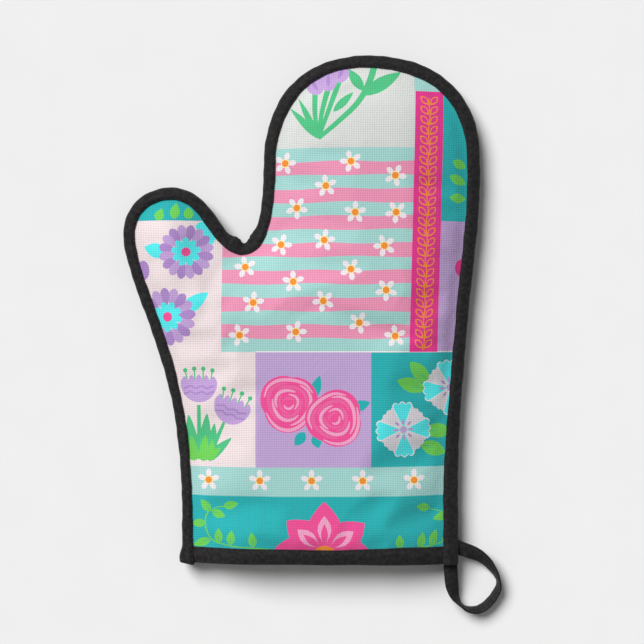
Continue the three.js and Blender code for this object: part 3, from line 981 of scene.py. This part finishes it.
def make_wall(side, outer, inside, reach):
    """A wall's batting and lining, inside its shell, whose outer face is at the heights given."""
    near = outer - inside * (SHELL + GAP)
    far = near - inside * batting_at(plan_x, plan_y, reach)
    lining_near = far - inside * GAP
    lining_far = lining_near - inside * LINING
    made = []
    for kind, slot, a, b in (
        ("wadding", "batting", near, far),
        ("cotton_lining", "lining", lining_near, lining_far),
    ):
        top, bottom = np.maximum(a, b), np.minimum(a, b)
        made.append(make_layer(f"{side}_{kind}", f"{side}_{slot}", plan, plan_triangles, top, bottom, slot))
    return made


back_cloth = printed_back()
back_wadding, back_lining = make_wall("back", back_height(plan_x, plan_y), 1, BACK_REACH)
palm_outer = palm_height(plan_x, plan_y)
palm_cloth = make_layer(
    "palm_cloth_panel", "palm_shell", plan, plan_triangles, palm_outer + SHELL, palm_outer, "palm_cloth"
)
palm_wadding, palm_lining = make_wall("palm", palm_outer, -1, PALM_REACH)

# ---- Bindings ----
FLANGE = np.array([1, 0.96, 0.9, 0.84, 0.78, 0.6, 0.4, 0.2])  # shares of the way from the fold to the lip
GROOVE_AT = 3  # where the stitches draw the tape in
DOME = 0.9  # how far the tape bulges between its fold and its lip
# Hand sewing: at lengths along the seam, how far the edge strays outward and how much wider its tape is.
STRAY = [
    (0, 0), (38, 0.6), (75, 1.2), (111, 0.4), (162, 0.6), (222, 1.2), (270, 1.1), (284, 0.1),
    (415, 0.5), (447, -0.2), (480, -0.6), (505, 0.2), (528, 1.5), (552, 0.7), (605, 0.4), (637, -0.8),
    (690, -0.4), (762, 0.5),
]
WIDER = [
    (0, 0), (60, -1.2), (95, -1.2), (112, -0.3), (240, -0.5), (262, -1.7), (284, 0), (370, 0.3),
    (395, 1.0), (415, 0.2), (440, 0.1), (478, 1.8), (500, 0.4), (530, -0.7), (590, -0.6), (645, 0.6),
    (700, 0), (765, 0.8),
]
FOLD_ANGLES = np.radians(np.linspace(90, -90, 11))
OUTER_CORNERS = 2 * len(FLANGE) + len(FOLD_ANGLES)  # a section's corners on the tape's outer face come first
LOWER_GROOVE_AT = OUTER_CORNERS - 1 - GROOVE_AT
EDGE_FOLD = 2.6  # how far in from its fold the side binding is round
CUFF_FOLD = 1.8
CUFF_REACH = 79.5  # the cuff bindings' ends, to both sides of the middle
EDGE_CREST = 1.1  # how far the side binding's fold stands off the pressed walls


def channel(width, fold, lip, crest, low_crest, low_lip, low_width):
    """The section of a tape folded over an edge, all the way round: [distance in from the fold, height]."""
    def flange(reach, lip_height, crest_height, out):
        inset = fold + (reach - fold) * FLANGE
        height = crest_height + (lip_height - crest_height) * FLANGE**1.2
        height = height + out * DOME * np.sin(np.pi * FLANGE**0.9)
        height[0] -= out * 0.45
        height[GROOVE_AT] -= out * 0.38
        return np.column_stack([inset, height])

    middle, half = (crest + low_crest) / 2, (crest - low_crest) / 2
    turn, rise = 1 - np.cos(FOLD_ANGLES) ** 0.85, np.sin(FOLD_ANGLES)
    outer_fold = np.column_stack([fold * turn, middle + half * rise])
    inner_fold = np.column_stack([TAPE + (fold - TAPE) * turn, middle + (half - TAPE) * rise])[::-2]
    return np.vstack([
        flange(width, lip, crest, 1),
        outer_fold,
        flange(low_width, low_lip, low_crest, -1)[::-1],
        [[low_width, low_lip + TAPE]],
        inner_fold,
        [[width, lip - TAPE]],
    ])


def stitches(name, node, path, lift, body="mitt"):
    """A row of stitches along a path of points, standing a little off it in the direction of lift."""
    sides, steps = 6, 5
    lengths = lengths_along(path)
    share = np.linspace(0, 1, steps)
    spin = np.linspace(0, 2 * np.pi, sides, endpoint=False)
    points, faces = [], []
    for start in np.arange(1.0, lengths[-1] - STITCH_LENGTH - 0.5, STITCH_PITCH):
        at = start + STITCH_LENGTH * share
        centre, up = read_along(path, lengths, at), read_along(lift, lengths, at)
        side = unit(np.cross(up, unit(centre[-1] - centre[0])))
        centre = centre + up * (0.32 * np.sin(np.pi * share) - 0.12)[:, None]
        radius = THREAD_RADIUS * (0.45 + 0.55 * np.sin(np.pi * (0.12 + 0.76 * share)))
        ring = centre[:, None, :] + radius[:, None, None] * (
            np.cos(spin)[None, :, None] * side[:, None, :] + np.sin(spin)[None, :, None] * up[:, None, :]
        )
        first = len(points)
        points.extend(ring.reshape(-1, 3))
        faces.extend(tuple(first + i for i in face) for face in sweep_faces(steps, sides))
    points = np.array(points)
    a, b, c = (points[list(faces[0])[k]] for k in range(3))
    if np.dot(np.cross(b - a, c - a), a - points[: sides * steps].mean(axis=0)) < 0:
        faces = [face[::-1] for face in faces]
    return make_piece(name, node, points, faces, "thread", body, 60)


def stitches_on(name, node, path, direction):
    """A row of stitches on top of a tape, or with a direction of -1 under it."""
    return stitches(name, node, path, np.tile([0.0, 0.0, direction], (len(path), 1)))


def near_to(along, place, reach):
    """1 at a place along a seam, falling smoothly to 0 on both sides of it."""
    return np.exp(-(((along - place) / reach) ** 2) / 2)


def crumple(rings, along, amount, wavelengths, seed, out):
    """Moves a tape's outer face in and out by slanted creases, and keeps the tape above the table."""
    slanted = along[:, None] + 0.7 * np.arange(OUTER_CORNERS)
    rings[:, :OUTER_CORNERS, 2] += amount * ripple(slanted, wavelengths, seed) * out
    rings[:, :, 2] = np.maximum(rings[:, :, 2], ABOVE_TABLE)


def sewn_shut(ring):
    """Sections that close a tape's end, each further out of the cuff and flatter."""
    middle = ring.mean(axis=0)
    closing = [(0.15, 0.98, 0.75), (0.45, 0.94, 0.45), (0.8, 0.86, 0.28)]
    return [middle + (ring - middle) * (across, 1, up) - (0, out, 0) for out, across, up in closing]


def edge_rings():
    """The side binding's section at each point of the outline."""
    y = outline[:, 1]
    outward_x = -inward[:, 0]
    crotch_at = along_seam[((outline - CROTCH) ** 2).sum(axis=1).argmin()]
    crotch = near_to(along_seam, crotch_at, 7.0)
    left_foot = smoothstep((13 - y) / 10) * (outline[:, 0] < 0)
    cover = 1.3 * smoothstep((14 - y) / 4)  # where it covers the cuff bindings' ends
    width = 7.3 + 0.75 * outward_x + 0.3 * ripple(along_seam, (61, 37, 23, 11), 2) + 0.5 * left_foot
    width += relaxed(np.interp(along_seam, *zip(*WIDER)), 60)
    wobble = 0.32 * ripple(along_seam, (47, 29, 17, 9), 4) - 1.9 * left_foot
    wobble -= relaxed(np.interp(along_seam, *zip(*STRAY)), 60)
    notch = 1.15 * near_to(along_seam, crotch_at, 1.4)
    tucks = 1.9 * near_to(along_seam, crotch_at - 5.0, 2.6) + 1.3 * near_to(along_seam, crotch_at + 6.0, 3.2)
    wobble = wobble + notch - tucks + 0.3 * crotch * ripple(along_seam, (4.2, 3.1), 9)
    pulled = 0.9 * near_to(along_seam, crotch_at - 4.5, 2.2) - 1.0 * near_to(along_seam, crotch_at, 1.3)
    rings = []
    for k, (point, into) in enumerate(zip(outline, inward)):
        lip_at = point + into * width[k]
        lip = back_height(*lip_at) + 0.2 + TAPE + cover[k]
        low_lip = palm_height(*lip_at) - 0.2 - TAPE - cover[k]
        crest = SEAM_TOP + EDGE_CREST + cover[k] + pulled[k]
        low_crest = SEAM_BOTTOM - EDGE_CREST - cover[k]
        section = channel(width[k], EDGE_FOLD, lip, crest, low_crest, max(low_lip, 0.1), width[k])
        inset = section[:, 0] + wobble[k] * np.clip(1 - section[:, 0] / 6, 0, 1)
        flat = point + into * inset[:, None]
        rings.append(np.column_stack([flat, section[:, 1]]))
    rings = np.array(rings)
    out = np.where(rings[:, :OUTER_CORNERS, 2] > SEAM_MIDDLE, 1, -1)
    crumple(rings, along_seam, 0.13 * (1 + 1.5 * crotch[:, None]), (11, 6.1, 4.3, 3.1), 6, out)
    slant = 1.6 * (1 - clamp01((rings[0, :, 0] - rings[0, :, 0].min()) / 9))
    rings[0, :, 1] += slant
    rings[1:4, :, 1] += slant * np.array([0.7, 0.4, 0.2])[:, None]
    start, end = (sewn_shut(rings[k]) for k in (0, -1))
    return np.concatenate([start[::-1], rings, end])


seam_rings = edge_rings()
make_tape("edge_bias_tape", "edge_binding", seam_rings)
stitches_on("edge_top_stitches", "edge_needle_thread", seam_rings[4:-4, GROOVE_AT], 1)
stitches_on("edge_under_stitches", "edge_bobbin_thread", seam_rings[4:-4, LOWER_GROOVE_AT], -1)


def cuff_rings(outer_height, inside, reach):
    """A cuff binding's section at steps across the cuff. inside is 1 for the back's and -1 for the palm's."""
    across = np.linspace(-CUFF_REACH, CUFF_REACH, 160)
    free = smoothstep((74 - np.abs(across)) / 4)  # 0 where the two walls are too close for the inner half
    bow = np.minimum(0.25 * ripple(across, (110, 61, 33), 14) + 0.8 - 0.6 * across / 80, 0.95)
    width = CUFF_WIDTH + 0.8 + 0.6 * smoothstep(-across / 76) + 1.6 * smoothstep((across - 10) / 45)
    off = 0.25 + TAPE
    pressed = SEAM_MIDDLE + inside * 0.15
    rings = []
    for k, x in enumerate(across):
        at_edge = float(outer_height(x, CUFF_ROW))
        at_lip = float(outer_height(x, width[k] + bow[k]))
        low_crest = at_edge - inside * (wall_at(x, CUFF_ROW, reach) + off)
        low_lip = at_lip - inside * (wall_at(x, width[k] + bow[k], reach) + off)
        low_crest = low_crest * free[k] + pressed * (1 - free[k])
        low_lip = low_lip * free[k] + pressed * (1 - free[k])
        low_width = 1.95 + (width[k] - 1.95) * free[k]
        lip, crest = at_lip + inside * off, at_edge + inside * (off + 0.1)
        heights = inside * np.array([lip, crest, low_crest, low_lip])
        inset, height = channel(width[k], CUFF_FOLD, *heights, low_width).T
        rings.append(np.column_stack([np.full(len(inset), x), inset + bow[k], inside * height]))
    rings = np.array(rings)
    out = inside * np.where(np.arange(OUTER_CORNERS) < OUTER_CORNERS / 2, 1, -1)
    crumple(rings, across, 0.12, (13, 7.1, 4.4, 3.2), 12, out)
    return rings


for side, outer_height, inside, reach in (
    ("back", back_height, 1, BACK_REACH),
    ("palm", palm_height, -1, PALM_REACH),
):
    rings = cuff_rings(outer_height, inside, reach)
    make_tape(f"{side}_cuff_bias_tape", f"{side}_cuff_binding", rings)
    outer_row, inner_row = rings[6:-6, GROOVE_AT], rings[10:-10, LOWER_GROOVE_AT]
    stitches_on(f"{side}_cuff_outer_stitches", f"{side}_cuff_needle_thread", outer_row, inside)
    stitches_on(f"{side}_cuff_inner_stitches", f"{side}_cuff_bobbin_thread", inner_row, -inside)

# ---- The hanging loop ----
STRAP_WIDTH = 8.4
STRAP = 1.3  # its thickness
STRAP_ROUND = 0.7
UNDER_ROW, TOP_ROW = 6, 16  # the corners of the strap's section that its stitches follow
# Degrees from flat on the table, at shares of the strap's length.
STRAP_TILT = [
    (0, 0), (0.1, 2), (0.18, 36), (0.28, 60), (0.37, 84), (0.42, 70), (0.5, 64), (0.57, 63), (0.64, 70),
    (0.71, 88), (0.77, 58), (0.85, 14), (1, 0),
]


def strap_rings():
    """The loop's tape: flat where it leaves the seam, and on edge at its far side and again near its end."""
    route = curve_through(
        [
            (80.5, 11.0), (84.8, 9.0), (90.0, 7.1), (96.0, 4.3), (100.9, 0.2), (104.6, -4.7), (107.2, -9.8),
            (107.8, -13.2), (106.0, -18.6), (102.6, -23.4), (98.2, -27.2), (92.8, -28.7), (87.0, -27.0),
            (82.9, -22.8), (80.4, -17.7), (79.2, -12.3), (78.6, -6.3), (78.3, -1.5), (78.3, 1.5),
        ],
        0.8,
    )
    share = lengths_along(route) / lengths_along(route)[-1]
    tilt = np.radians(relaxed(np.interp(share, *zip(*STRAP_TILT)), 6))
    along = unit(np.gradient(route, axis=0))
    outward = np.column_stack([-along[:, 1], along[:, 0], np.zeros(len(route))])
    width = outward * np.cos(tilt)[:, None]
    width[:, 2] = np.sin(tilt)
    heading = np.column_stack([along, np.zeros(len(route))])
    face = np.cross(heading, width)
    on_table = STRAP_WIDTH / 2 * np.sin(tilt) + STRAP / 2 * np.cos(tilt) + 0.35
    height = on_table + (SEAM_MIDDLE - on_table) * np.cos(np.pi * share) ** 2
    middle = np.column_stack([route, height])
    curve = np.linspace(0, np.pi, 5)
    left_edge = np.column_stack([
        STRAP_ROUND - STRAP_WIDTH / 2 - STRAP_ROUND * np.sin(curve),
        STRAP / 2 * np.cos(curve),
    ])
    top = np.array([(2.9, 0), (2.6, -0.2), (2.3, 0), (0.6, 0.12), (-1.4, 0.1)]) + (0, STRAP / 2)
    section = np.vstack([left_edge, -top, -left_edge, top])
    creases = 0.12 * ripple(share * 100, (9, 6, 4), 21)
    rings = (
        middle[:, None, :]
        + section[None, :, :1] * width[:, None, :]
        + (section[None, :, 1:] + creases[:, None, None]) * face[:, None, :]
    )
    rings[:, :, 2] = np.maximum(rings[:, :, 2], ABOVE_TABLE)
    return rings, face


loop_rings, loop_face = strap_rings()
sewn, sewn_face = loop_rings[3:-3], loop_face[3:-3]
loop_parts = [
    make_tape("loop_strap", "hanging_loop", loop_rings, None, 60),
    stitches("loop_top_stitches", "loop_needle_thread", sewn[:, TOP_ROW], sewn_face, None),
    stitches("loop_under_stitches", "loop_bobbin_thread", sewn[:, UNDER_ROW], -sewn_face, None),
]
for part in loop_parts:
    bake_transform(part)

# ---- Floor, lights and camera ----


def pale_floor():
    s = Shader("pale_floor", 0.9)
    place = s.place()
    grain = s.noise(place, 30.0)
    return s.finish(s.mix(grain, paint((238, 238, 238)), paint((242, 242, 242))), s.bump(grain, 0.01))


floor_mesh = bpy.data.meshes.new("floor")
floor_mesh.from_pydata([(*corner, 0) for corner in rectangle(-15, -15, 15, 15)], [], [(0, 1, 2, 3)])
floor_mesh.materials.append(pale_floor())
floor = new_object("floor", floor_mesh)

key = bpy.data.lights.new("key", "SUN")
key.energy = 3.37
key.angle = math.radians(33)
new_object("key", key).rotation_euler = (math.radians(-30), math.radians(-31), 0)
world = bpy.data.worlds.new("studio")
world.use_nodes = True
background = world.node_tree.nodes["Background"]
background.inputs["Color"].default_value = (1, 1, 1, 1)
background.inputs["Strength"].default_value = 0.2
bpy.context.scene.world = world
bpy.context.scene.view_settings.view_transform = "Standard"

camera_data = bpy.data.cameras.new("camera")
camera_data.lens = 100
camera_data.sensor_width = 36
camera = new_object("camera", camera_data)
camera.location = (0.00463, 0.00749, 1.083)
bpy.context.scene.camera = camera
